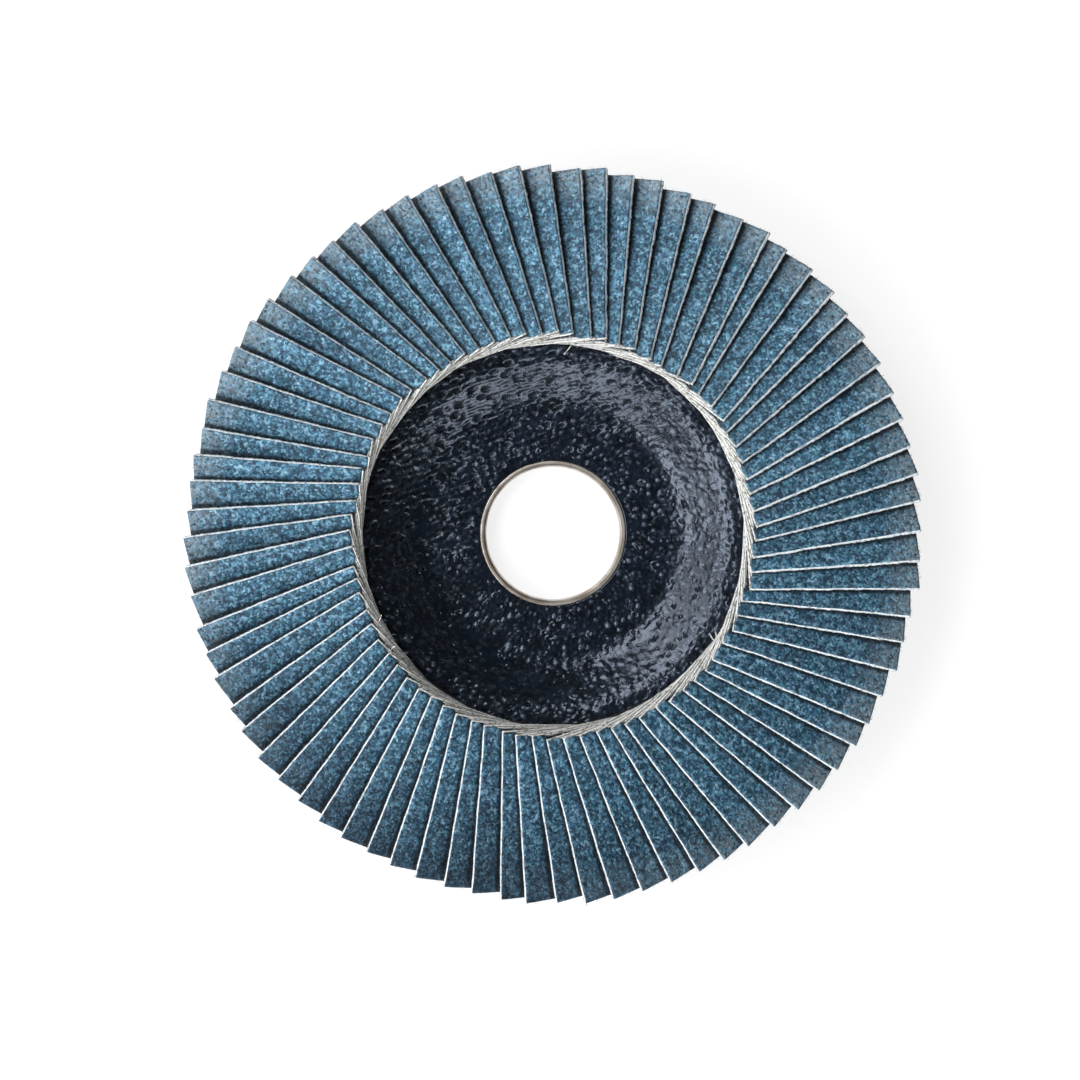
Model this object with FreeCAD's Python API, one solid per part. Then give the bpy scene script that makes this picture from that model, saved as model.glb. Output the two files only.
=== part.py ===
"""A flap disc for an angle grinder, lying on the back of its hub with the flaps up.

The frame's origin is the centre of the bore at the hub's back face, and +Z runs along the bore
towards the working side. Seen from +Z, each flap lies over its clockwise neighbour.
"""

import math
import os
import random

import FreeCAD
import Part

# Driving sizes, in millimetres and degrees.

# The hole for the grinder's spindle nose, and the thin metal ring that lines it.
bore_diameter = 22.23
ring_sheet = 0.5
ring_flange_radius = 16.0
ring_lip_overhang = 0.5
ring_lip_height = 0.5
ring_lip_proud = 0.2
ring_lip_rounding = 0.2
ring_fit = 0.02

# The flaps: rectangles of abrasive cloth, each in its own plane.
disc_radius = 60.6
flap_count = 80
flap_length = 28.2
flap_width = 17.5
flap_thickness = 0.85
first_flap_angle = 3.6
flaps_per_node = 2
lay_clearance = 0.02

# How far off its even place a flap may be laid, in its own plane.
lay_scatter_length = 0.3
lay_scatter_width = 0.45
lay_scatter_turn = 0.6
lay_seed = 7000

# The moulded backing plate with its depressed centre.
flap_overhang = 2.6
plate_thickness = 2.6
hub_thickness = 3.0
hub_flat_radius = 22.0
recess_depth = 5.4
crest_lead = 2.2
cone_angle = 7.5
hub_bend = 1.4
crest_bend = 5.0
rim_rounding = 0.8

# The glue bed between the plate's outer land and the feet of the flaps.
foot_height = 0.35
glue_grip = 0.5
glue_inset_crest = 0.1
glue_inset_rim = 0.6

# Derived sizes.
bore_radius = bore_diameter / 2
collar_radius = bore_radius + ring_sheet
lip_radius = collar_radius + ring_lip_overhang
lip_top = hub_thickness + ring_lip_proud
lip_seat = lip_top - ring_lip_height
plate_radius = disc_radius - flap_overhang
glue_depth = foot_height + glue_grip
pitch = math.radians(360 / flap_count)
cone = math.radians(cone_angle)
cone_slope = math.tan(cone)


def layFlaps():
    """The slope of a flap across its width, and where its inner end is, along its length.

    The slope is the smallest at which neighbours still clear each other at their inner ends, so
    it follows from the flaps' thickness and count and the radius at which they end.
    """
    slope = 0.4
    for _ in range(40):
        lean = math.sqrt(1 + slope**2 + cone_slope**2)
        half_plan = flap_width / 2 / math.cos(cone) / lean
        skew = flap_width / 2 * slope * math.sin(cone) / lean
        outer = (math.sqrt(disc_radius**2 - half_plan**2) - skew) / math.cos(cone)
        inner = outer - flap_length
        tight_reach = (inner - lay_scatter_length) * math.cos(cone) - skew
        tight_side = half_plan + lay_scatter_width
        needed = flap_thickness * lean + lay_clearance
        slope = (needed / math.sin(pitch) + tight_side * cone_slope) / tight_reach
    return slope, inner


flap_slope, flap_inner = layFlaps()
crest_radius = flap_inner * math.cos(cone) - crest_lead
crest_height = hub_thickness + recess_depth
wall = math.atan2(recess_depth, crest_radius - hub_flat_radius)
land_start = crest_radius + crest_bend * math.tan((wall + cone) / 2) * math.cos(cone)


def landHeight(radius):
    """Height of the plate's outer land, which falls away from the crest to the rim."""
    return crest_height - (radius - crest_radius) * cone_slope


# A flap's own directions, for the flap whose length runs along +X: along its length, out of its
# grain face, and across its width to the edge that stands in the glue.
flap_along = FreeCAD.Vector(math.cos(cone), 0, -math.sin(cone))
flap_normal = FreeCAD.Vector(cone_slope, flap_slope, 1).normalize()
flap_across = flap_normal.cross(flap_along)
flap_middle = flap_inner + flap_length / 2
foot = flap_along * flap_middle + flap_across * (flap_width / 2)
flap_rise = landHeight(math.hypot(foot.x, foot.y)) + foot_height - foot.z


def roundedWire(corners):
    """A closed wire in the XZ plane, from (radius, height, rounding) corners."""
    places = [FreeCAD.Vector(radius, 0, height) for radius, height, _ in corners]
    edges = []
    ends = []
    for i, (_, _, rounding) in enumerate(corners):
        here = places[i]
        if rounding <= 0:
            ends.append((here, here))
            continue
        back = (places[i - 1] - here).normalize()
        ahead = (places[(i + 1) % len(places)] - here).normalize()
        half = back.getAngle(ahead) / 2
        start = here + back * (rounding / math.tan(half))
        end = here + ahead * (rounding / math.tan(half))
        centre = here + (back + ahead).normalize() * (rounding / math.sin(half))
        middle = centre + (here - centre).normalize() * rounding
        edges.append(Part.Arc(start, middle, end).toShape())
        ends.append((start, end))
    for i, (_, end) in enumerate(ends):
        edges.append(Part.LineSegment(end, ends[(i + 1) % len(ends)][0]).toShape())
    return Part.Wire(Part.sortEdges(edges)[0])


def turned(corners):
    """A solid turned about the bore's axis from its rounded half section."""
    section = Part.Face(roundedWire(corners))
    return section.revolve(FreeCAD.Vector(0, 0, 0), FreeCAD.Vector(0, 0, 1), 360)


def backingPlate():
    """The plate, with seats let into its back and front for the ring's flange and lip."""
    hole = collar_radius + ring_fit
    seat = ring_flange_radius + ring_fit
    seat_depth = ring_sheet + ring_fit
    hub_edge = hub_flat_radius
    hub_edge += (plate_thickness - hub_thickness * math.cos(wall)) / math.sin(wall)
    fold = plate_thickness / (1 + math.cos(wall + cone))
    inner_crest = crest_radius + fold * (math.sin(wall) - math.sin(cone))
    inner_crest_height = crest_height - fold * (math.cos(wall) + math.cos(cone))
    rim_top = landHeight(plate_radius)
    rim_bottom = rim_top - plate_thickness / math.cos(cone)
    edge = min(rim_rounding, 0.45 * plate_thickness)
    return turned(
        [
            (hole, seat_depth, 0),
            (seat, seat_depth, 0),
            (seat, 0, 0),
            (hub_edge, 0, hub_bend + plate_thickness),
            (inner_crest, inner_crest_height, max(crest_bend - plate_thickness, edge)),
            (plate_radius, rim_bottom, edge),
            (plate_radius, rim_top, edge),
            (crest_radius, crest_height, crest_bend),
            (hub_flat_radius, hub_thickness, hub_bend),
            (lip_radius + ring_fit, hub_thickness, 0),
            (lip_radius + ring_fit, lip_seat, 0),
            (hole, lip_seat, 0),
        ]
    )


def boreRing():
    """The ring: a flange in the hub's back, a collar, and a lip rolled into the hub's front."""
    return turned(
        [
            (bore_radius, 0, 0),
            (ring_flange_radius, 0, 0),
            (ring_flange_radius, ring_sheet, 0),
            (collar_radius, ring_sheet, 0),
            (collar_radius, lip_seat, 0),
            (lip_radius, lip_seat, 0),
            (lip_radius, lip_top, ring_lip_rounding),
            (bore_radius, lip_top, ring_sheet),
        ]
    )


def flap(number):
    """One flap as laid: its plane is exact, and its place in that plane is a little off."""
    scatter = random.Random(lay_seed + number)
    slide_length = scatter.uniform(-lay_scatter_length, lay_scatter_length)
    slide_width = scatter.uniform(-lay_scatter_width, lay_scatter_width)
    turn = math.radians(scatter.uniform(-lay_scatter_turn, lay_scatter_turn))
    middle = flap_along * (flap_middle + slide_length) + flap_across * slide_width
    middle.z += flap_rise
    along = flap_along * math.cos(turn) + flap_across * math.sin(turn)
    half_long = along * (flap_length / 2)
    half_wide = flap_normal.cross(along) * (flap_width / 2)
    outline = [
        middle - half_long - half_wide,
        middle + half_long - half_wide,
        middle + half_long + half_wide,
        middle - half_long + half_wide,
        middle - half_long - half_wide,
    ]
    slab = Part.Face(Part.makePolygon(outline)).extrude(flap_normal * flap_thickness)
    angle = first_flap_angle + number * 360 / flap_count
    slab.rotate(FreeCAD.Vector(0, 0, 0), FreeCAD.Vector(0, 0, 1), angle)
    return slab


def adhesiveRing(flaps):
    """The glue bed, with the print of every flap's foot in it."""
    inner = land_start + glue_inset_crest
    outer = plate_radius - rim_rounding - glue_inset_rim
    bed = turned(
        [
            (inner, landHeight(inner), 0),
            (outer, landHeight(outer), 0),
            (outer, landHeight(outer) + glue_depth, 0),
            (inner, landHeight(inner) + glue_depth, 0),
        ]
    )
    return bed.cut(flaps)


def main():
    os.makedirs("parts", exist_ok=True)
    flaps = [flap(number) for number in range(flap_count)]
    backingPlate().exportStep("parts/backing_plate.step")
    boreRing().exportStep("parts/bore_ring.step")
    adhesiveRing(flaps).exportStep("parts/adhesive_ring.step")
    for start in range(0, flap_count, flaps_per_node):
        node = f"flap_pair_{start // flaps_per_node + 1:02d}"
        neighbours = Part.makeCompound(flaps[start : start + flaps_per_node])
        neighbours.exportStep(f"parts/{node}.step")


main()
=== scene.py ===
import math
import random

import bmesh
import bpy
from mathutils import Matrix, Vector, noise


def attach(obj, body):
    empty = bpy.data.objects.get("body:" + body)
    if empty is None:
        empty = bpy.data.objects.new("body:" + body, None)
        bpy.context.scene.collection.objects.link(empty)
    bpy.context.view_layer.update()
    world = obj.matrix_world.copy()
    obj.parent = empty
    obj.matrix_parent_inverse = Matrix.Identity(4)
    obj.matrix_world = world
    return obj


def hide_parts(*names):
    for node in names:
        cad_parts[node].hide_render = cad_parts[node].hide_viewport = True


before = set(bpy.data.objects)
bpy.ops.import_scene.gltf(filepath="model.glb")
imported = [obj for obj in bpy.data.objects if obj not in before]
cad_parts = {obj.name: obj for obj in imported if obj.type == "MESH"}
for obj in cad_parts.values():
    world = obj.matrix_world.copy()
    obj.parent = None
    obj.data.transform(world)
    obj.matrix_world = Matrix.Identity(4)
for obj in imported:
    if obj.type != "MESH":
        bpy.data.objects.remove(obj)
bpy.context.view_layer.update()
mm = 0.001
weld = 0.001 * mm        # vertices this close together are one


# small helpers for meshes and materials

def smoothStep(low, high, value):
    share = min(max((value - low) / (high - low), 0.0), 1.0)
    return share * share * (3 - 2 * share)


def addPiece(name, mesh, materials):
    piece = bpy.data.objects.new(name, mesh)
    bpy.context.scene.collection.objects.link(piece)
    for material in materials:
        mesh.materials.append(material)
    for face in mesh.polygons:
        face.use_smooth = True
    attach(piece, "root")
    return piece


def newMaterial(name):
    material = bpy.data.materials.new(name)
    material.use_nodes = True
    tree = material.node_tree
    return material, tree, tree.nodes["Principled BSDF"]


def addNode(tree, kind, values=None, **settings):
    node = tree.nodes.new("ShaderNode" + kind)
    for key, value in settings.items():
        setattr(node, key, value)
    for key, value in (values or {}).items():
        if isinstance(value, bpy.types.NodeSocket):
            tree.links.new(value, node.inputs[key])
        else:
            node.inputs[key].default_value = value
    return node


def addRamp(tree, fac, stops):
    node = addNode(tree, "ValToRGB", {"Fac": fac})
    ramp = node.color_ramp
    while len(ramp.elements) < len(stops):
        ramp.elements.new(1.0)
    for element, (place, colour) in zip(ramp.elements, stops):
        element.position = place
        element.color = (*colour, 1.0)
    return node.outputs["Color"]


def mixColour(tree, fac, first, second, blend="MIX"):
    node = addNode(tree, "Mix", data_type="RGBA", blend_type=blend)
    for socket, value in ((node.inputs[0], fac), (node.inputs[6], first), (node.inputs[7], second)):
        if isinstance(value, bpy.types.NodeSocket):
            tree.links.new(value, socket)
        elif isinstance(value, (int, float)):
            socket.default_value = value
        else:
            socket.default_value = (*value, 1.0)
    return node.outputs[2]


def objectPlace(tree):
    return addNode(tree, "TexCoord").outputs["Object"]


def attributeOf(tree, name):
    return addNode(tree, "Attribute", attribute_name=name).outputs["Fac"]


def addNoise(tree, place, scale, detail):
    return addNode(tree, "TexNoise", {"Vector": place, "Scale": scale, "Detail": detail}).outputs["Fac"]


def addMath(tree, operation, *values, clamp=False):
    node = addNode(tree, "Math", dict(enumerate(values)), operation=operation, use_clamp=clamp)
    return node.outputs[0]


def mapRange(tree, value, span, to=(0.0, 1.0)):
    node = addNode(tree, "MapRange", {
        "Value": value, "From Min": span[0], "From Max": span[1], "To Min": to[0], "To Max": to[1],
    })
    return node.outputs["Result"]


def radiusOf(tree, place):
    # distance from the disc's axis
    flat = addNode(tree, "VectorMath", {0: place, 1: (1.0, 1.0, 0.0)}, operation="MULTIPLY")
    return addNode(tree, "VectorMath", {0: flat.outputs[0]}, operation="LENGTH").outputs["Value"]


def addBump(tree, height, strength, distance, **under):
    values = {"Height": height, "Strength": strength, "Distance": distance, **under}
    return addNode(tree, "Bump", values).outputs["Normal"]


def dress(tree, shader, colour, normal, settings):
    tree.links.new(colour, shader.inputs["Base Color"])
    tree.links.new(normal, shader.inputs["Normal"])
    for key, value in settings.items():
        shader.inputs[key].default_value = value


# materials

grain = {
    "size": 0.37 * mm,          # width of one abrasive grain
    "deep": (0.004, 0.024, 0.052),
    "blue": (0.031, 0.110, 0.19),
    "pale": (0.125, 0.285, 0.415),
    "glint": (0.27, 0.45, 0.57),
    "violet": (0.11, 0.15, 0.27),
    "teal": (0.03, 0.18, 0.20),
    "tintShare": 0.3,
    "patchScale": 0.95 / mm,    # darker and paler patches of grain
    "patchDark": (0.42, 0.48, 0.50),
    "patchPale": (1.44, 1.41, 1.38),
    "rimShadeAndPaleSide": (0.42, 0.91, 0.0),
    "rimShadeAndPaleAlong": (-57.0 * mm, -28.0 * mm),  # along the side vector above: where the pale rim begins and is full, as the painted rim shade fades out
    "paleRimWearAndLight": (0.28, 0.33, 0.36),     # grain paler at the rim: part wear, part painted light
    "paleRimRadius": (54.0 * mm, 61.0 * mm),
    "paintedRimShade": (0.34, 0.38, 0.42),   # painted shade: grain darker towards the rim, on the far side from the side vector above
    "paintedRimShadeRadius": (43.0 * mm, 60.0 * mm),
    "paintedCreviceShade": (0.08, 0.55),    # painted shade: mm from the edge that lies over it, along which the grain darkens
    "creviceShade": 0.20,
    "roughness": 0.6,
    "gloss": 0.35,
    "bump": 0.11 * mm,
}


def makeGrain():
    material, tree, shader = newMaterial("blueGrain")
    place = objectPlace(tree)
    cells = addNode(tree, "TexVoronoi", {"Vector": place, "Scale": 1 / grain["size"]}).outputs
    pick = addNode(tree, "SeparateColor", {"Color": cells["Color"]}).outputs
    colour = addRamp(tree, pick["Red"], [
        (0.12, grain["deep"]), (0.45, grain["blue"]), (0.80, grain["pale"]), (1.0, grain["glint"]),
    ])
    tint = addRamp(tree, pick["Green"], [
        (0.0, grain["teal"]), (0.5, grain["blue"]), (1.0, grain["violet"]),
    ])
    colour = mixColour(tree, grain["tintShare"], colour, tint)
    patchy = addNoise(tree, place, grain["patchScale"], 2.0)
    shade = addRamp(tree, patchy, [(0.35, grain["patchDark"]), (0.65, grain["patchPale"])])
    colour = mixColour(tree, 1.0, colour, shade, "MULTIPLY")
    colour = mixColour(tree, 1.0, colour, attributeOf(tree, "tone"), "MULTIPLY")

    # painted shade darkens the grain towards the rim on one side; on the other side the rim is paler,
    # part wear and part painted light
    reach = radiusOf(tree, place)
    along = addNode(tree, "VectorMath", {0: place, 1: grain["rimShadeAndPaleSide"]}, operation="DOT_PRODUCT")
    side = mapRange(tree, along.outputs["Value"], grain["rimShadeAndPaleAlong"])
    inner = mapRange(tree, reach, grain["paintedRimShadeRadius"], (1.0, 0.0))
    full = addMath(tree, "MAXIMUM", inner, side)
    tone = mixColour(tree, full, grain["paintedRimShade"], (1.0, 1.0, 1.0))
    colour = mixColour(tree, 1.0, colour, tone, "MULTIPLY")
    # the pale rim: part wear, part painted light
    paleRimShare = addMath(tree, "MULTIPLY", mapRange(tree, reach, grain["paleRimRadius"]), side)
    paleRimShare = addMath(tree, "MULTIPLY", paleRimShare, pick["Blue"], clamp=True)
    colour = mixColour(tree, paleRimShare, colour, grain["paleRimWearAndLight"])

    # painted shade in the crevice under the edge of the flap that lies over this one
    paintedCreviceShade = mapRange(tree, attributeOf(tree, "open"), grain["paintedCreviceShade"], (grain["creviceShade"], 1.0))
    colour = mixColour(tree, 1.0, colour, paintedCreviceShade, "MULTIPLY")
    height = addMath(tree, "MULTIPLY_ADD", cells["Distance"], -1.0, 1.0)
    dress(tree, shader, colour, addBump(tree, height, 0.9, grain["bump"]), {
        "Roughness": grain["roughness"], "Specular IOR Level": grain["gloss"],
    })
    return material


cloth = {
    "yarn": 0.46 * mm,          # width of one yarn of the backing cloth
    "light": (0.92, 0.97, 1.0),
    "dark": (0.52, 0.52, 0.50),
    "fibreScale": 6.0 / mm,
    "fibreShare": 0.7,
    "stain": (0.15, 0.20, 0.23),
    "stainScale": 1.4 / mm,
    "stainShare": 0.6,
    "paintedEndShade": (0.30, 0.26, 0.20),   # painted shade: the cloth darker at its inner ends, where they lie stacked
    "paintedEndShadeShare": 0.45,
    "paintedEndShadeRadius": (33.2 * mm, 34.0 * mm),
    "bump": 0.10 * mm,
}


def makeCloth():
    # a plain weave that follows the flap: the map gives the place along and across it
    material, tree, shader = newMaterial("cutCloth")
    place = objectPlace(tree)
    lay = addNode(tree, "UVMap", uv_map="lay").outputs["UV"]
    parts = addNode(tree, "SeparateXYZ", {"Vector": lay}).outputs
    waves = []
    for axis in ("X", "Y"):
        turn = addMath(tree, "MULTIPLY", parts[axis], math.pi * mm / cloth["yarn"])
        waves.append(addMath(tree, "SINE", turn))
    over = addMath(tree, "MULTIPLY", *waves)
    height = addMath(tree, "MULTIPLY_ADD", over, 0.5, 0.5)
    fibres = addNoise(tree, place, cloth["fibreScale"], 2.0)
    height = addMath(tree, "MULTIPLY_ADD", fibres, cloth["fibreShare"], height)
    colour = addRamp(tree, height, [(0.25, cloth["dark"]), (0.75, cloth["light"])])
    blotch = addNoise(tree, place, cloth["stainScale"], 3.0)
    stained = mapRange(tree, blotch, (0.52, 0.64), (0.0, cloth["stainShare"]))
    colour = mixColour(tree, stained, colour, cloth["stain"])
    # painted shade towards the flaps' inner ends
    paintedEndShade = mapRange(tree, radiusOf(tree, place), cloth["paintedEndShadeRadius"], (cloth["paintedEndShadeShare"], 0.0))
    colour = mixColour(tree, paintedEndShade, colour, cloth["paintedEndShade"])
    dress(tree, shader, colour, addBump(tree, height, 0.8, cloth["bump"]), {
        "Roughness": 0.9, "Specular IOR Level": 0.2,
    })
    return material


thread = {
    "light": (0.98, 0.99, 0.98),
    "dark": (0.74, 0.73, 0.69),
    "fibreScale": 4.5 / mm,
    "tan": (0.28, 0.265, 0.22),
    "tanScale": 1.5 / mm,
    "tanShare": 0.8,
    "bump": 0.04 * mm,
}


def makeThread():
    material, tree, shader = newMaterial("looseThread")
    place = objectPlace(tree)
    fibres = addNoise(tree, place, thread["fibreScale"], 3.0)
    colour = addRamp(tree, fibres, [(0.35, thread["dark"]), (0.60, thread["light"])])
    blotch = addNoise(tree, place, thread["tanScale"], 3.0)
    tanned = mapRange(tree, blotch, (0.55, 0.62), (0.0, thread["tanShare"]))
    colour = mixColour(tree, tanned, colour, thread["tan"])
    dress(tree, shader, colour, addBump(tree, fibres, 0.6, thread["bump"]), {
        "Roughness": 0.85, "Specular IOR Level": 0.25,
    })
    return material


resin = {
    "dark": (0.001, 0.002, 0.005),
    "blue": (0.004, 0.009, 0.018),
    # painted shade: the colour in a pit
    "pit": (0.001, 0.002, 0.004),
    "fibreFleckAndGlint": (0.15, 0.20, 0.28),
    "cloudScale": 0.35 / mm,
    "rowTurn": 18.0,            # the pressed weave's rows rise this far to the right
    "rowStretch": 0.72,
    "waveScale": 0.3 / mm,      # how often and how far the rows waver
    "wave": 1.2 * mm,
    "pitSpacing": 1.25 * mm,
    "pitShare": 0.22,
    "pitDepth": 0.24 * mm,
    "knobSpacing": 0.90 * mm,
    "knobShare": 0.25,
    "knobRise": 0.17 * mm,
    "knobFleckAndGlint": 0.25,          # how much paler a knob and a knot are: fibre showing through, and a painted glint
    "knotFleckAndGlint": 0.45,
    "fineScale": 1.4 / mm,
    "fineRise": 0.08 * mm,
    "roughness": (0.17, 0.30),
    "pitRoughness": 0.7,        # added in a pit
    "gloss": 0.9,
    "tint": (0.70, 0.81, 1.0),
}


def spottedHeight(tree, place, spacing, stops, share):
    # round spots, of which only a share is there
    values = {"Vector": place, "Scale": 1 / spacing, "Randomness": 0.75}
    cells = addNode(tree, "TexVoronoi", values).outputs
    pick = addNode(tree, "SeparateColor", {"Color": cells["Color"]}).outputs
    form = addRamp(tree, cells["Distance"], [(at, (level, level, level)) for at, level in stops])
    there = mapRange(tree, pick["Red"], (1 - share, 1.15 - share))
    rest = stops[-1][1]
    return mixColour(tree, there, (rest, rest, rest), form)


def makeResin():
    material, tree, shader = newMaterial("pressedResin")
    place = objectPlace(tree)
    cloudy = addNoise(tree, place, resin["cloudScale"], 4.0)
    colour = addRamp(tree, cloudy, [(0.38, resin["dark"]), (0.66, resin["blue"])])
    rows = addNode(tree, "Mapping", {
        "Vector": place,
        "Rotation": (0.0, 0.0, -math.radians(resin["rowTurn"])),
        "Scale": (resin["rowStretch"], 1.0, 1.0),
    }).outputs["Vector"]
    wavy = addNode(tree, "TexNoise", {"Vector": place, "Scale": resin["waveScale"], "Detail": 1.0})
    rows = addNode(tree, "VectorMath", {
        0: wavy.outputs["Color"], 1: (resin["wave"], resin["wave"], 0.0), 2: rows,
    }, operation="MULTIPLY_ADD").outputs[0]
    pits = spottedHeight(tree, rows, resin["pitSpacing"], [
        (0.10, 0.0), (0.24, 0.75), (0.31, 1.0), (0.48, 0.7),
    ], resin["pitShare"])
    knobs = spottedHeight(tree, rows, resin["knobSpacing"], [
        (0.0, 1.0), (0.16, 0.7), (0.32, 0.0),
    ], resin["knobShare"])
    fine = addNoise(tree, place, resin["fineScale"], 3.0)
    sunk = attributeOf(tree, "pit")
    raised = attributeOf(tree, "knot")
    # knobs and knots paler: fibre showing through the resin, and a painted glint on the raised spots
    fleckAndGlintShare = addMath(tree, "MULTIPLY", knobs, resin["knobFleckAndGlint"])
    fleckAndGlintShare = addMath(tree, "MULTIPLY_ADD", raised, resin["knotFleckAndGlint"], fleckAndGlintShare, clamp=True)
    colour = mixColour(tree, fleckAndGlintShare, colour, resin["fibreFleckAndGlint"])
    # painted shade in the pits
    colour = mixColour(tree, sunk, colour, resin["pit"])
    rough = mapRange(tree, fine, (0.3, 0.7), resin["roughness"])
    rough = addMath(tree, "MULTIPLY_ADD", sunk, resin["pitRoughness"], rough, clamp=True)
    tree.links.new(rough, shader.inputs["Roughness"])
    normal = addBump(tree, fine, 1.0, resin["fineRise"])
    normal = addBump(tree, knobs, 1.0, resin["knobRise"], Normal=normal)
    normal = addBump(tree, pits, 1.0, resin["pitDepth"], Normal=normal)
    dress(tree, shader, colour, normal, {
        "Specular IOR Level": resin["gloss"], "Specular Tint": (*resin["tint"], 1.0),
    })
    return material


plating = {
    "bright": (0.70, 0.65, 0.59),
    "dull": (0.44, 0.37, 0.31),
    "cloudScale": 0.3 / mm,
    "groove": (0.42, 0.41, 0.40),   # painted shade: a darker line round the lip
    "lipRadius": (11.1 * mm, 12.1 * mm),
    "paintedLipShadeSpan": (0.10, 0.30, 0.42, 0.62),    # where on the lip it begins, is full, and ends
    "metallic": 0.75,
    "roughness": 0.38,
    "fineScale": 5.0 / mm,
    "bump": 0.03 * mm,
}


def makePlating():
    material, tree, shader = newMaterial("dullPlating")
    place = objectPlace(tree)
    cloudy = addNoise(tree, place, plating["cloudScale"], 3.0)
    colour = addRamp(tree, cloudy, [(0.36, plating["dull"]), (0.60, plating["bright"])])
    lip = mapRange(tree, radiusOf(tree, place), plating["lipRadius"])
    plain = (1.0, 1.0, 1.0)
    tones = (plain, plating["groove"], plating["groove"], plain)
    # painted shade: a darker line round the lip
    groove = addRamp(tree, lip, list(zip(plating["paintedLipShadeSpan"], tones)))
    colour = mixColour(tree, 1.0, colour, groove, "MULTIPLY")
    fine = addNoise(tree, place, plating["fineScale"], 2.0)
    dress(tree, shader, colour, addBump(tree, fine, 0.5, plating["bump"]), {
        "Metallic": plating["metallic"], "Roughness": plating["roughness"],
    })
    return material


glue = {
    "dark": (0.006, 0.007, 0.009),
    "light": (0.028, 0.029, 0.031),
    "cloudScale": 0.8 / mm,
    "roughness": 0.42,
    "bump": 0.08 * mm,
}


def makeGlue():
    material, tree, shader = newMaterial("curedGlue")
    cloudy = addNoise(tree, objectPlace(tree), glue["cloudScale"], 3.0)
    colour = addRamp(tree, cloudy, [(0.35, glue["dark"]), (0.70, glue["light"])])
    dress(tree, shader, colour, addBump(tree, cloudy, 0.7, glue["bump"]), {
        "Roughness": glue["roughness"],
    })
    return material


materials = {
    "grain": makeGrain(),
    "cloth": makeCloth(),
    "thread": makeThread(),
    "resin": makeResin(),
    "plating": makePlating(),
    "glue": makeGlue(),
}
print("materials made")


# flaps: one detailed piece for each solid in the frame's flap nodes

flaps = {
    "pairs": 40,
    "stripWidth": 6.0 * mm,     # the finely modelled strip along the edge that shows
    "stripRows": 20,
    "hiddenRows": 6,
    "columns": 94,
    "clothShare": 0.68,         # cloth's share of the thickness
    "reachInner": 0.06 * mm,    # how far the cloth stands out past the grain at its free edge
    "reachRim": 0.08 * mm,      # and at the rim
    "frayedSide": (0.88, 0.47),     # the side of the disc where the cloth stands out furthest
    "trimSide": (-0.17, -0.98),     # and where it is cut closest
    "evenShare": 0.8,           # share of the reach all round, then how much more and less there
    "frayedShare": 2.0,
    "trimShare": 0.6,
    "cornerSetBack": 0.20 * mm, # how far the grain ends short of the cloth at its inner end
    "endSetBack": 0.62 * mm,    # and away from the corner
    "cornerWidth": (1.6 * mm, 3.0 * mm),
    "setBackFade": 3.0 * mm,
    "fray": 0.13 * mm,
    "grainRise": 0.07 * mm,
    "grainFade": (5.0 * mm, 6.5 * mm),
    "edgeWave": 0.10 * mm,
    "waveWidth": 3.0 * mm,
    "liftInner": 0.14 * mm,     # how far a flap's free edge stands up at its inner end
    "liftRim": 0.62 * mm,       # and at the rim
    "liftWidth": 7.0 * mm,
    "toneScatter": 0.12,
    "seed": 500,
}


def slabsOf(node):
    # each flap in a node: the ends of its high edge, the inner end of its low edge, its normal
    # and its thickness
    bm = bmesh.new()
    bm.from_mesh(node.data)
    bmesh.ops.remove_doubles(bm, verts=bm.verts, dist=weld)
    bmesh.ops.dissolve_limit(bm, angle_limit=math.radians(1), verts=bm.verts, edges=bm.edges)
    tops = sorted((f for f in bm.faces if f.normal.z > 0), key=lambda f: f.calc_area())[-2:]
    slabs = []
    for top in tops:
        corners = sorted((v.co.copy() for v in top.verts), key=lambda co: co.xy.length)
        inner = sorted(corners[:2], key=lambda co: co.z)
        outer = sorted(corners[2:], key=lambda co: co.z)
        wall = next(e for e in top.verts[0].link_edges if e not in top.edges[:])
        slabs.append((inner[1], outer[1], inner[0], top.normal.copy(), wall.calc_length()))
    bm.free()
    return slabs


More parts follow.
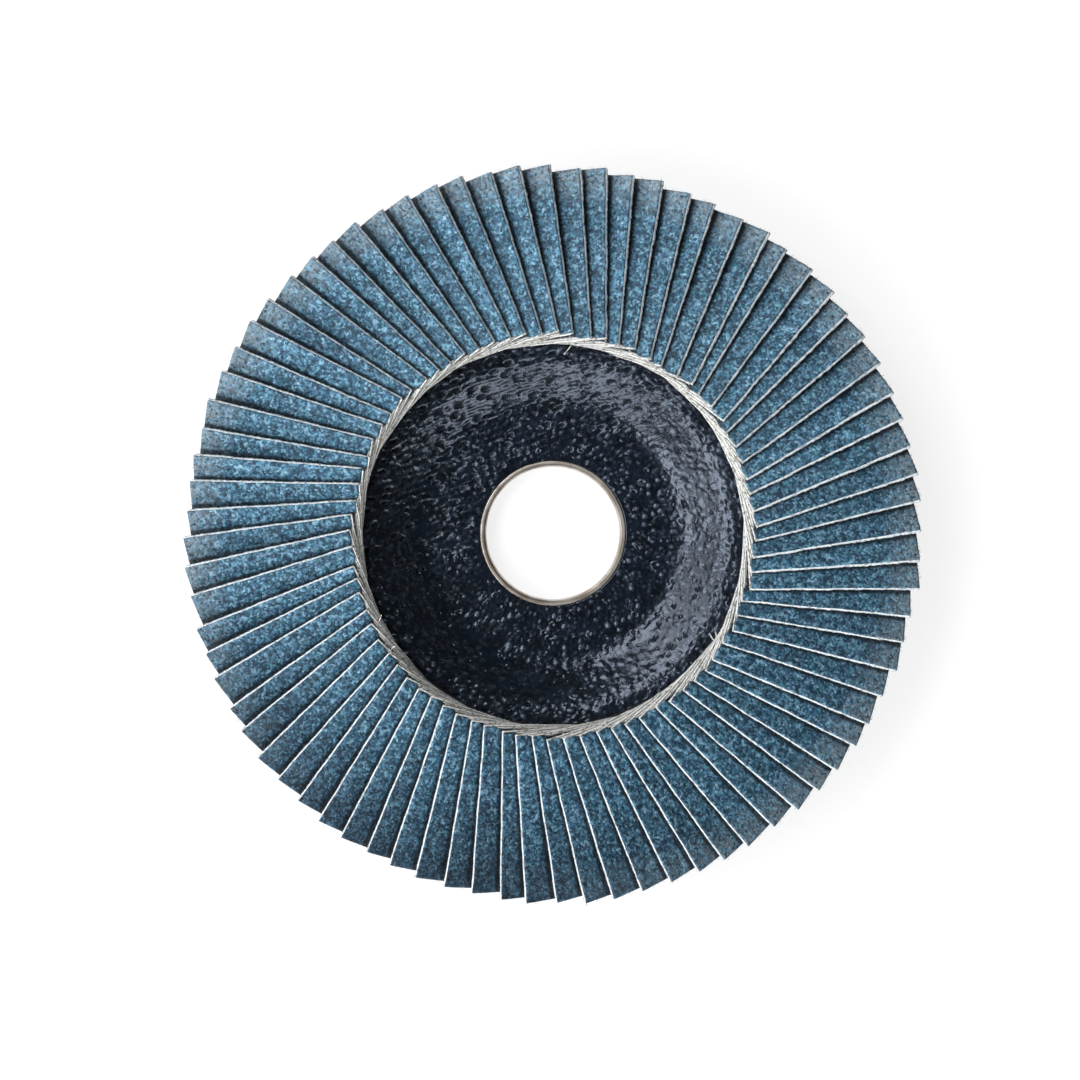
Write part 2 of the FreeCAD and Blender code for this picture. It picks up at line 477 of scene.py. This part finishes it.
def flapTemplate(length, width, thick):
    # a flap lying flat: x along it from its inner end, y across it from the edge that shows
    rows = flaps["stripRows"] + flaps["hiddenRows"]
    bm = bmesh.new()
    layer = bm.verts.layers.int.new("layer")
    lay = bm.loops.layers.uv.new("lay")
    bmesh.ops.create_grid(bm, x_segments=flaps["columns"], y_segments=rows, size=0.5)
    strip = flaps["stripWidth"]
    for v in bm.verts:
        row = (v.co.y + 0.5) * rows
        if row <= flaps["stripRows"]:
            across = strip * row / flaps["stripRows"]
        else:
            across = strip + (width - strip) * (row - flaps["stripRows"]) / flaps["hiddenRows"]
        v.co = Vector(((v.co.x + 0.5) * length, across, thick))
    seam = thick * flaps["clothShare"]
    levels = [seam, seam, 0.0]
    rim = [e for e in bm.edges if e.is_boundary]
    for step, level in enumerate(levels, 1):
        made = bmesh.ops.extrude_edge_only(bm, edges=rim)["geom"]
        rim = [e for e in made if isinstance(e, bmesh.types.BMEdge) and e.is_boundary]
        for v in {v for e in rim for v in e.verts}:
            v.co.z = level
            v[layer] = step
        if step > 1:
            for e in rim:
                for f in e.link_faces:
                    f.material_index = 1
    under = bmesh.ops.holes_fill(bm, edges=rim, sides=0)["faces"]
    for f in under:
        f.material_index = 1
    bmesh.ops.recalc_face_normals(bm, faces=bm.faces)
    for f in bm.faces:
        facing = [abs(part) for part in f.normal]
        for loop in f.loops:
            x, y, z = loop.vert.co / mm
            if facing[2] > 0.5:
                loop[lay].uv = (x, y)
            elif facing[1] > 0.5:
                loop[lay].uv = (x, y + z)
            else:
                loop[lay].uv = (x + z, y)
    mesh = bpy.data.meshes.new("flapTemplate")
    bm.to_mesh(mesh)
    bm.free()
    return mesh


def coverLine(place, over, length):
    # where the free edge of the flap that lies over this one runs on it: y = start + slope * x
    inner = place.inverted() @ over @ Vector((0, 0, 0))
    outer = place.inverted() @ over @ Vector((length, 0, 0))
    slope = (outer.y - inner.y) / (outer.x - inner.x)
    return inner.y - slope * inner.x, slope


def shapeFlap(mesh, size, cover, side, seed):
    # grain, frayed cloth edges, a wavy cut and a slightly lifted free edge
    length, width, _ = size
    atEdge = 0.01 * mm
    draw = random.Random(seed)
    away = Vector((draw.uniform(0, 9), draw.uniform(0, 9), draw.uniform(0, 9)))
    liftInner = flaps["liftInner"] * draw.uniform(0.5, 1.3)
    liftRim = flaps["liftRim"] * draw.uniform(0.55, 1.25)
    reachShare = flaps["evenShare"]
    reachShare += flaps["frayedShare"] * max(0.0, side.dot(flaps["frayedSide"])) ** 3
    reachShare -= flaps["trimShare"] * max(0.0, side.dot(flaps["trimSide"]))
    reachShare *= draw.uniform(0.75, 1.25)
    shade = draw.uniform(1 - flaps["toneScatter"], 1 + flaps["toneScatter"])
    mesh.attributes.new("open", "FLOAT", "POINT")
    mesh.attributes.new("tone", "FLOAT", "POINT")
    # read only once all are made, because a new attribute moves the others
    layers = mesh.attributes["layer"].data
    uncovered = mesh.attributes["open"].data
    tone = mesh.attributes["tone"].data
    for v in mesh.vertices:
        x, y, z = v.co
        p = v.co / mm + away * 100
        level = layers[v.index].value
        # how far this point lies from the edge of the flap over it, which the painted crevice shade
        # reads
        uncovered[v.index].value = (cover[0] + cover[1] * x - y) / mm
        tone[v.index].value = shade
        wave = noise.noise(p / 3.7) + 0.35 * noise.noise(p / 0.7)
        v.co.y += (1 - smoothStep(0, flaps["waveWidth"], y)) * wave * flaps["edgeWave"]
        if level == 0:
            grit = noise.noise(p / 0.42) + 0.6 * noise.noise(p / 1.3) - 0.35
            v.co.z += flaps["grainRise"] * grit * (1 - smoothStep(*flaps["grainFade"], y))
        if level <= 1:
            setBack = flaps["cornerSetBack"]
            setBack += (flaps["endSetBack"] - setBack) * smoothStep(*flaps["cornerWidth"], y)
            setBack += 0.6 * flaps["fray"] * noise.noise(p / 0.9)
            v.co.x += setBack * max(0.0, 1 - x / flaps["setBackFade"])
        else:
            rough = (noise.noise(p / 0.33 + away) + 0.6 * noise.noise(p / 1.1 + away)) * flaps["fray"]
            reach = flaps["reachInner"] + (flaps["reachRim"] - flaps["reachInner"]) * x / length
            reach *= reachShare
            if y < atEdge:
                v.co.y -= max(0.0, reach + rough * min(1.0, reachShare))
            elif y > width - atEdge:
                v.co.y += 0.2 * rough
            if x < atEdge:
                v.co.x -= 0.02 * mm + 0.7 * rough
            elif x > length - atEdge:
                v.co.x += 0.4 * reach + rough
            if level == 2:
                v.co.z += 0.3 * flaps["fray"] * noise.noise(p / 0.5)
        v.co.z += flapLift(x / length, y, liftInner, liftRim)


def flapLift(along, y, liftInner, liftRim):
    lift = liftInner + (liftRim - liftInner) * min(max(along, 0.0), 1.0)
    return lift * (1 - smoothStep(0, flaps["liftWidth"], max(y, 0.0)))


def flapPlaces():
    # every flap, each before the one that lies over it: its node, its size and where it lies
    places = []
    for pair in range(1, flaps["pairs"] + 1):
        name = f"flap_pair_{pair:02d}"
        for start, end, low, normal, thick in slabsOf(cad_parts[name]):
            along = (end - start).normalized()
            across = (low - start).normalized()
            size = ((end - start).length, (low - start).length, thick)
            place = Matrix((along, across, normal)).transposed().to_4x4()
            place.translation = start - normal * thick
            places.append((name, size, place))
    return sorted(places, key=lambda lay: math.atan2(lay[2].translation.y, lay[2].translation.x))


def makeFlaps(places):
    template = flapTemplate(*places[0][1])
    for number, (node, size, place) in enumerate(places, 1):
        cover = coverLine(place, places[number % len(places)][2], size[0])
        side = place.translation.xy.normalized()
        mesh = template.copy()
        shapeFlap(mesh, size, cover, side, flaps["seed"] + number)
        mesh.name = f"flap_{number:02d}"
        mesh.transform(place)
        if place.determinant() < 0:
            mesh.flip_normals()
        piece = addPiece(mesh.name, mesh, [materials["grain"], materials["cloth"]])
        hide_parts(node)


flapLay = flapPlaces()
makeFlaps(flapLay)
print("flaps made")


# threads: the yarns that come loose where the cloth is cut

threads = {
    "yarnWidth": 0.24 * mm,
    "yarnPitch": 0.36 * mm,     # spacing of the yarns that lie bare at a flap's inner end
    "yarnSteps": 9,
    "yarnStart": ((-0.15, 0.3), (1.9, 2.6)),    # mm across the flap, for each of the yarns
    "yarnStop": (8.0, 12.0),
    "whiskerWidth": 0.07 * mm,
    "whiskersInner": 2,
    "whiskersRim": 5,
    "innerSpan": (0.0, 3.5),    # mm across the flap where whiskers stand, and how long they are
    "innerLength": (0.3, 0.7),
    "rimSpan": (0.0, 4.6),
    "rimLength": (0.25, 0.6),
    "strayWidth": 0.154 * mm,
    "strayAcross": 3.0 * mm,
    "seed": 77,
    "strays": (                 # clockwise angle, length in mm, how far it leans clockwise
        (9.0, 2.6, -0.5), (127.0, 2.2, 0.2), (126.0, 1.6, -0.9), (239.0, 1.5, 0.7), (247.0, 1.6, 0.4),
    ),
}


def makeThreads(name, paths, width):
    curve = bpy.data.curves.new(name, "CURVE")
    curve.dimensions = "3D"
    curve.bevel_depth = width / 2
    curve.bevel_resolution = 1
    curve.use_fill_caps = True
    curve.resolution_u = 3
    for points in paths:
        spline = curve.splines.new("NURBS")
        spline.points.add(len(points) - 1)
        for point, co in zip(spline.points, points):
            point.co = (*co, 1.0)
        spline.order_u = 3
        spline.use_endpoint_u = True
    carrier = bpy.data.objects.new(name, curve)
    mesh = bpy.data.meshes.new_from_object(carrier)
    bpy.data.objects.remove(carrier)
    mesh.name = name
    addPiece(name, mesh, [materials["thread"]])


def endYarn(size, place, draw, rank):
    # a yarn along the cut at a flap's inner end
    start = draw.uniform(*threads["yarnStart"][rank]) * mm
    stop = draw.uniform(*threads["yarnStop"]) * mm
    height = size[2] * flaps["clothShare"] + 0.1 * threads["yarnWidth"]
    points = []
    for step in range(threads["yarnSteps"]):
        y = start + (stop - start) * step / (threads["yarnSteps"] - 1)
        x = threads["yarnPitch"] * rank + draw.uniform(-0.09, 0.09) * mm
        lift = flapLift(0.0, y, flaps["liftInner"], flaps["liftRim"])
        z = height + lift + draw.uniform(-0.03, 0.03) * mm
        points.append(place @ Vector((x, y, z)))
    return points


def curledPath(place, base, way, curl):
    return [place @ (base + way * t + curl * t * t) for t in (0.0, 0.35, 0.7, 1.0)]


def whisker(size, place, draw, x, y, away, length):
    side = draw.uniform(-0.8, 0.8)
    base = Vector((x, y, size[2] * draw.uniform(0.2, 0.6)))
    base.z += flapLift(x / size[0], y, flaps["liftInner"], flaps["liftRim"])
    way = Vector((away, side, draw.uniform(-0.1, 0.35))).normalized()
    curl = Vector((0, draw.uniform(-0.5, 0.5), draw.uniform(-0.2, 0.4)))
    return curledPath(place, base, way * length, curl * length)


def apartBy(point, angle):
    # how far the point lies from a clockwise angle, in degrees
    return abs((math.degrees(math.atan2(point.x, point.y)) - angle + 180) % 360 - 180)


def makeAllThreads():
    draw = random.Random(threads["seed"])
    yarns = []
    whiskers = []
    for _, size, place in flapLay:
        for rank in range(len(threads["yarnStart"])):
            yarns.append(endYarn(size, place, draw, rank))
        for _ in range(threads["whiskersInner"]):
            y = draw.uniform(*threads["innerSpan"]) * mm
            length = draw.uniform(*threads["innerLength"]) * mm
            whiskers.append(whisker(size, place, draw, 0.1 * mm, y, -1.0, length))
        for _ in range(threads["whiskersRim"]):
            y = draw.uniform(*threads["rimSpan"]) * mm
            length = draw.uniform(*threads["rimLength"]) * mm
            whiskers.append(whisker(size, place, draw, size[0], y, 1.0, length))
    strays = []
    for angle, length, lean in threads["strays"]:
        _, size, place = min(flapLay, key=lambda lay: apartBy(lay[2].translation, angle))
        base = Vector((0.0, threads["strayAcross"], size[2] * flaps["clothShare"]))
        way = Vector((-1.0, -lean, 0.25)).normalized() * length * mm
        curl = Vector((0.0, draw.uniform(-0.5, 0.5), 0.2)) * length * mm
        strays.append(curledPath(place, base, way, curl))
    makeThreads("inner_yarns", yarns, threads["yarnWidth"])
    makeThreads("loose_whiskers", whiskers, threads["whiskerWidth"])
    makeThreads("stray_threads", strays, threads["strayWidth"])


makeAllThreads()
print("threads made")


# backing plate and bore ring: the frame's own half sections, turned finely and given their surface

plate = {
    "steps": 576,
    "frontPitch": 0.26 * mm,    # spacing of the rings of faces that show
    "backPitch": 2.0 * mm,
    "shownRadius": 33.0 * mm,
    "frontFrom": 2.5 * mm,      # least height of the front, over the ground and over the underside
    "halfThick": 1.3 * mm,
    "underside": (24.0 * mm, 0.7, 5.4 * mm),    # radius where the back rises, its slope and its top
    "levelFrom": 0.3,           # upright part of the normal from which a vertex takes the relief
    "rowTurn": 20.0,            # how far the pressed weave's rows rise to the right
    "rowSpacing": 1.15,
    "pitDepth": 0.50 * mm,
    "knotRise": 0.25 * mm,      # of the knots on the hub and the crest
    "bumpRise": 0.17 * mm,      # of the flatter ones on the wall
    "groove": 0.04 * mm,
    "pebble": 0.055 * mm,
    "fold": 22.0 * mm,          # radius of the fold between hub and wall, its bend and the softer one
    "hubBend": 1.4 * mm,
    "softBend": 6.0 * mm,
    "wallSlope": math.radians(36.5),
    "hubEdge": (20.0 * mm, 22.5 * mm),      # radii between which one kind of surface gives way
    "wallTop": (27.5 * mm, 29.5 * mm),
    "crestStart": (25.0 * mm, 28.5 * mm),
    "atLip": (12.4 * mm, 13.4 * mm),        # radii between which the relief comes in and fades
    "atFlange": (16.2 * mm, 17.2 * mm),
    "underFlaps": (31.6 * mm, 33.0 * mm),
    "atRim": (55.5 * mm, 57.0 * mm),
    "backWave": 0.12 * mm,      # the back is plainer: slow waves that its coarser mesh can carry
    "backWaveLength": 6.0 * mm,
}

ring = {
    "steps": 256,
    "lipPitch": 0.12 * mm,
    "flangePitch": 0.8 * mm,
    "fineFrom": 2.0 * mm,
    "dent": 0.06 * mm,
    "dentFrom": (11.3 * mm, 2.8 * mm),      # radius and height past which the lip is dented
}

turnParts = 16      # a turned skin is spun over one part and doubled four times


def turnedSkin(node, steps, pitchAt):
    bm = bmesh.new()
    bm.from_mesh(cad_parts[node].data)
    bmesh.ops.remove_doubles(bm, verts=bm.verts, dist=weld)
    everything = bm.verts[:] + bm.edges[:] + bm.faces[:]
    bmesh.ops.bisect_plane(bm, geom=everything, dist=weld / 2, plane_co=(0, 0, 0),
                           plane_no=(0, 1, 0), clear_inner=True, clear_outer=True)
    bmesh.ops.delete(bm, geom=[v for v in bm.verts if v.co.x < 0], context="VERTS")
    bmesh.ops.remove_doubles(bm, verts=bm.verts, dist=2 * weld)
    bmesh.ops.dissolve_limit(bm, angle_limit=math.radians(0.5), verts=bm.verts, edges=bm.edges)
    for e in list(bm.edges):
        cuts = math.ceil(e.calc_length() / pitchAt(e)) - 1
        if cuts > 0:
            bmesh.ops.subdivide_edges(bm, edges=[e], cuts=cuts)
    share = 2 * math.pi / turnParts
    bmesh.ops.spin(bm, geom=bm.verts[:] + bm.edges[:], cent=(0, 0, 0), axis=(0, 0, 1), dvec=(0, 0, 0),
                   angle=share, steps=steps // turnParts)
    for doubling in range(turnParts.bit_length() - 1):
        made = bmesh.ops.duplicate(bm, geom=bm.verts[:] + bm.edges[:] + bm.faces[:])["geom"]
        copied = [part for part in made if isinstance(part, bmesh.types.BMVert)]
        turn = Matrix.Rotation(share * 2 ** doubling, 3, "Z")
        bmesh.ops.rotate(bm, verts=copied, cent=(0, 0, 0), matrix=turn)
    bmesh.ops.remove_doubles(bm, verts=bm.verts, dist=2 * weld)
    bmesh.ops.recalc_face_normals(bm, faces=bm.faces)
    bm.normal_update()
    return bm


def platePitch(e):
    # fine where the dish shows, coarser under the flaps and on the back
    middle = (e.verts[0].co + e.verts[1].co) / 2
    front = middle.z > max(plate["frontFrom"], plateUnderside(middle.x) + plate["halfThick"])
    return plate["frontPitch"] if front and middle.x < plate["shownRadius"] else plate["backPitch"]


def plateUnderside(radius):
    # roughly: flat under the hub, then up along the wall to the land
    start, slope, top = plate["underside"]
    return max(0.0, min((radius - start) * slope, top))


def spots(u, v, layer, size):
    # scattered round spots: 1 in the middle of a spot, 0 outside it
    return 1 - smoothStep(0.25 * size, size, noise.voronoi(Vector((u, v, layer)))[0][0])


def pressedRelief(place):
    # height of the pressed surface, and how far it is inside a pit or up a knot
    turn = math.radians(plate["rowTurn"])
    u = (place.x * math.cos(turn) + place.y * math.sin(turn)) / mm
    v = (place.y * math.cos(turn) - place.x * math.sin(turn)) / mm
    p = Vector((u, v, 0))
    u += 0.5 * noise.noise(p / 2.7 + Vector((11, 3, 0)))
    v += 0.4 * noise.noise(p / 2.7 + Vector((5, 17, 2)))
    reach = place.xy.length
    crest = smoothStep(*plate["crestStart"], reach)
    hub = 1 - smoothStep(*plate["hubEdge"], reach)
    steep = max(hub, smoothStep(*plate["wallTop"], reach))
    upperLeft = smoothStep(-0.1, 0.7, (0.87 * place.y - 0.5 * place.x) / reach)

    sparse = spots(u / 1.7, v / 1.5, 3.3, 0.23) * (1 - 0.8 * hub) * (1 - 0.5 * upperLeft)
    dense = spots(u / 1.3, v / 1.15, 7.1, 0.28) * crest * (1 - 0.4 * upperLeft)
    dashes = spots(u / 2.6, v / 1.15, 5.7, 0.38) * upperLeft * (1 - 0.5 * hub)
    pit = smoothStep(0.1, 0.6, max(sparse, dense, dashes))

    lowerRight = (0.77 * place.x - 0.64 * place.y) / reach
    clusters = noise.noise(p / 3.5 + Vector((7, 1, 5))) + 0.3 * lowerRight
    sown = smoothStep(-0.25, 0.35, clusters) * hub + 1 - hub
    knots = max(spots(u / 1.35, v / 1.15, 11.9, 0.38) * sown, 0.6 * spots(u / 0.9, v / 0.8, 21.3, 0.34))
    knots *= steep
    bumps = max(spots(u / 1.5, v / 1.3, 31.7, 0.42), crest * spots(u / 1.1, v / 0.95, 27.4, 0.42))
    bumps *= 1 - steep

    phase = 2 * math.pi * v / plate["rowSpacing"] + 2.5 * noise.noise(p / 3.0)
    rows = plate["groove"] * (0.1 + upperLeft) * math.cos(phase)
    pebble = noise.noise(p / 0.6) + noise.noise(p / 1.2) + 1.4 * noise.noise(p / 2.6)
    pebble *= plate["pebble"] * (1 - 0.35 * hub)
    height = plate["knotRise"] * knots + plate["bumpRise"] * bumps * (1 - 0.5 * upperLeft)
    return height - plate["pitDepth"] * pit + rows + pebble, pit, knots + 0.2 * bumps


def foldFill(radius):
    # the resin fills the fold between hub and wall, so the dish rises more softly there
    apart = abs(radius - plate["fold"])
    if radius > plate["fold"]:
        apart /= math.cos(plate["wallSlope"])
    fill = 0.0
    for bend, sign in ((plate["softBend"], 1), (plate["hubBend"], -1)):
        reach = bend * math.tan(plate["wallSlope"] / 2)
        if apart < reach:
            fill += sign * (bend - math.sqrt(bend ** 2 - (reach - apart) ** 2))
    return fill


def reliefShare(radius, back):
    share = 1 - smoothStep(*plate["atRim"], radius)
    if back:
        return share * smoothStep(*plate["atFlange"], radius)
    return share * smoothStep(*plate["atLip"], radius) * (1 - smoothStep(*plate["underFlaps"], radius))


def makePlate():
    bm = turnedSkin("backing_plate", plate["steps"], platePitch)
    pitLayer = bm.verts.layers.float.new("pit")
    knotLayer = bm.verts.layers.float.new("knot")
    moves = []
    for v in bm.verts:
        if abs(v.normal.z) < plate["levelFrom"]:
            continue
        back = v.normal.z < 0
        share = reliefShare(v.co.xy.length, back)
        if share > 0:
            if back:
                height = plate["backWave"] * noise.noise(v.co / plate["backWaveLength"])
            else:
                height, pit, knot = pressedRelief(v.co)
                height += foldFill(v.co.xy.length)
                v[pitLayer] = share * pit
                v[knotLayer] = share * knot
            moves.append((v, v.normal * share * height))
    for v, move in moves:
        v.co += move
        v.co.z = max(v.co.z, 0.0)
    mesh = bpy.data.meshes.new("pressed_plate")
    bm.to_mesh(mesh)
    bm.free()
    piece = addPiece("pressed_plate", mesh, [materials["resin"]])
    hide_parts("backing_plate")


def ringPitch(e):
    # fine at the lip and the collar, coarse over the flange
    return ring["lipPitch"] if e.verts[0].co.z > ring["fineFrom"] else ring["flangePitch"]


def makeRing():
    bm = turnedSkin("bore_ring", ring["steps"], ringPitch)
    for v in bm.verts:
        radius = v.co.xy.length
        if radius > ring["dentFrom"][0] and v.co.z > ring["dentFrom"][1]:
            way = v.co / mm
            wobble = noise.noise(way / 2.2) + 0.6 * noise.noise(way / 0.8)
            v.co.xy *= 1 - abs(wobble) * ring["dent"] / radius
    mesh = bpy.data.meshes.new("rolled_ring")
    bm.to_mesh(mesh)
    bm.free()
    piece = addPiece("rolled_ring", mesh, [materials["plating"]])
    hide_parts("bore_ring")


makePlate()
makeRing()
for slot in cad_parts["adhesive_ring"].material_slots:
    slot.material = materials["glue"]
print("plate, ring and glue made")


# floor, light and camera

studio = {
    "floorColour": (0.27, 0.27, 0.28),
    "floorGlow": 0.80,
    "worldColour": (0.94, 0.97, 1.0),
    "worldStrength": 0.06,
    "panels": (                 # degrees clockwise from the picture's top, height, width, depth, watts
        (252.0, 43.0, 0.60, 0.48, 5.0),
        (256.0, 18.0, 0.70, 0.34, 1.2),
        (304.0, 21.0, 0.62, 0.42, 2.2),
        (196.0, 21.0, 0.66, 0.40, 3.4),
        (150.0, 20.0, 0.56, 0.38, 2.6),
        (318.0, 48.0, 0.46, 0.48, 3.6),
        (252.0, 66.0, 0.60, 0.34, 0.25),
    ),
    "panelDistance": 0.9,
    "viewDistance": 0.80,
    "viewTilt": 2.0,
    "sensor": 36.0,
    "rimRadius": 61.06 * mm,    # radius over the flaps, and the height of their rim
    "rimHeight": 11.7 * mm,
    "picture": 1080.0,          # the photograph's width, and the disc's radius and centre in it
    "rimPixels": 370.3,
    "centreX": 553.0,
    "centreY": 535.1,
}


def whiteToCamera(tree):
    path = addNode(tree, "LightPath").outputs
    seen = addMath(tree, "ADD", path["Is Camera Ray"], path["Is Glossy Ray"])
    return addMath(tree, "ADD", seen, path["Is Transmission Ray"], clamp=True)


def makeFloor():
    bm = bmesh.new()
    bmesh.ops.create_grid(bm, x_segments=2, y_segments=2, size=6.0)
    mesh = bpy.data.meshes.new("floor")
    bm.to_mesh(mesh)
    bm.free()
    floor = bpy.data.objects.new("floor", mesh)
    bpy.context.scene.collection.objects.link(floor)
    material, tree, shader = newMaterial("paleFloor")
    shader.inputs["Base Color"].default_value = (*studio["floorColour"], 1.0)
    shader.inputs["Roughness"].default_value = 0.9
    shader.inputs["Emission Color"].default_value = (1.0, 1.0, 1.0, 1.0)
    glow = addMath(tree, "MULTIPLY", whiteToCamera(tree), studio["floorGlow"])
    tree.links.new(glow, shader.inputs["Emission Strength"])
    mesh.materials.append(material)


def makeWorld():
    world = bpy.data.worlds.new("studio")
    world.use_nodes = True
    bpy.context.scene.world = world
    background = world.node_tree.nodes["Background"]
    background.inputs["Color"].default_value = (*studio["worldColour"], 1.0)
    background.inputs["Strength"].default_value = studio["worldStrength"]


def makePanels():
    for number, (turn, height, width, depth, watts) in enumerate(studio["panels"], 1):
        turn = math.radians(turn)
        height = math.radians(height)
        level = math.cos(height)
        way = Vector((math.sin(turn) * level, math.cos(turn) * level, math.sin(height)))
        data = bpy.data.lights.new(f"panel_{number}", "AREA")
        data.shape = "RECTANGLE"
        data.size = width
        data.size_y = depth
        data.energy = watts
        lamp = bpy.data.objects.new(data.name, data)
        lamp.location = way * studio["panelDistance"]
        lamp.rotation_euler = way.to_track_quat("Z", "Y").to_euler()
        bpy.context.scene.collection.objects.link(lamp)


def makeCamera():
    scale = studio["rimRadius"] / studio["rimPixels"]      # metres a pixel at the rim's height
    tilt = math.radians(studio["viewTilt"])
    data = bpy.data.cameras.new("camera")
    distance = studio["viewDistance"]
    data.sensor_width = studio["sensor"]
    data.lens = studio["sensor"] * distance / (scale * studio["picture"])
    half = studio["picture"] / 2
    aim = Vector((
        (half - studio["centreX"]) * scale,
        -(half - studio["centreY"]) * scale,
        studio["rimHeight"],
    ))
    back = Vector((0, math.sin(tilt), math.cos(tilt)))
    camera = bpy.data.objects.new("camera", data)
    camera.location = aim + back * distance
    camera.rotation_euler = (-tilt, 0, 0)
    bpy.context.scene.collection.objects.link(camera)
    bpy.context.scene.camera = camera


makeFloor()
makeWorld()
makePanels()
makeCamera()
bpy.context.scene.view_settings.view_transform = "Standard"
print("floor, light and camera made")
